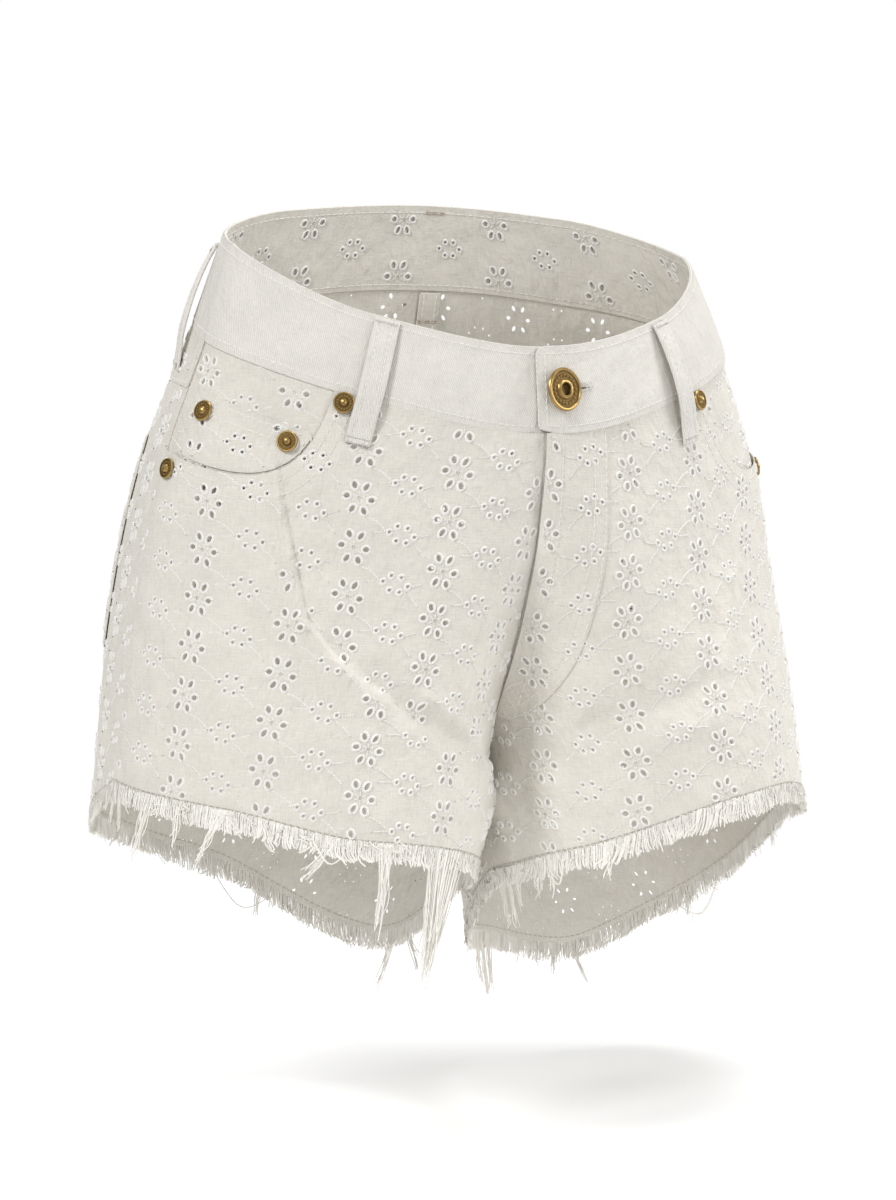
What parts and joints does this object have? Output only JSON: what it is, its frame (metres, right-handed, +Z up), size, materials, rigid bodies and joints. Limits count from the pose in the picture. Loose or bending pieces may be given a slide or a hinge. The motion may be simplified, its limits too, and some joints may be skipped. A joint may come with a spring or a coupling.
{
  "type": "shorts",
  "caption": "High-rise cut-off five-pocket shorts in off-white eyelet cotton, worn hollow form, frayed raw hems, brass button and rivets",
  "frame": {"origin": "the middle of the waist at the level of the side of the waistband's rim, where the wearer holds the garment", "axes": "+Z up, the garment's front faces -Y, the wearer's left is +X"},
  "size_m": [0.3704, 0.1974, 0.416],
  "materials": {
    "eyelet": "matte off-white cotton with eyelet embroidery",
    "twill": "matte off-white cotton twill",
    "thread": "loose frayed cotton yarn",
    "brass": "satin aged brass"
  },
  "bodies": {
    "root": {"waistband": "twill", "waistband_facing": "eyelet", "front_panel_right": "eyelet", "front_panel_left": "eyelet", "pocket_facing_right": "eyelet", "pocket_facing_left": "eyelet", "coin_pocket": "eyelet", "fly": "eyelet", "back_yoke_right": "eyelet", "back_yoke_left": "eyelet", "back_panel_right": "eyelet", "back_panel_left": "eyelet", "back_pocket_right": "eyelet", "back_pocket_left": "eyelet", "belt_loop_front_right": "twill", "belt_loop_front_left": "twill", "belt_loop_side_right": "twill", "belt_loop_side_left": "twill", "belt_loop_back": "twill", "fringe_front_right": "thread", "fringe_front_left": "thread", "fringe_back_right": "thread", "fringe_back_left": "thread", "button": "brass", "rivet_coin_outer": "brass", "rivet_coin_inner": "brass", "rivet_scoop_top_right": "brass", "rivet_scoop_side_right": "brass", "rivet_scoop_top_left": "brass", "rivet_scoop_side_left": "brass"}
  },
  "joints": []
}
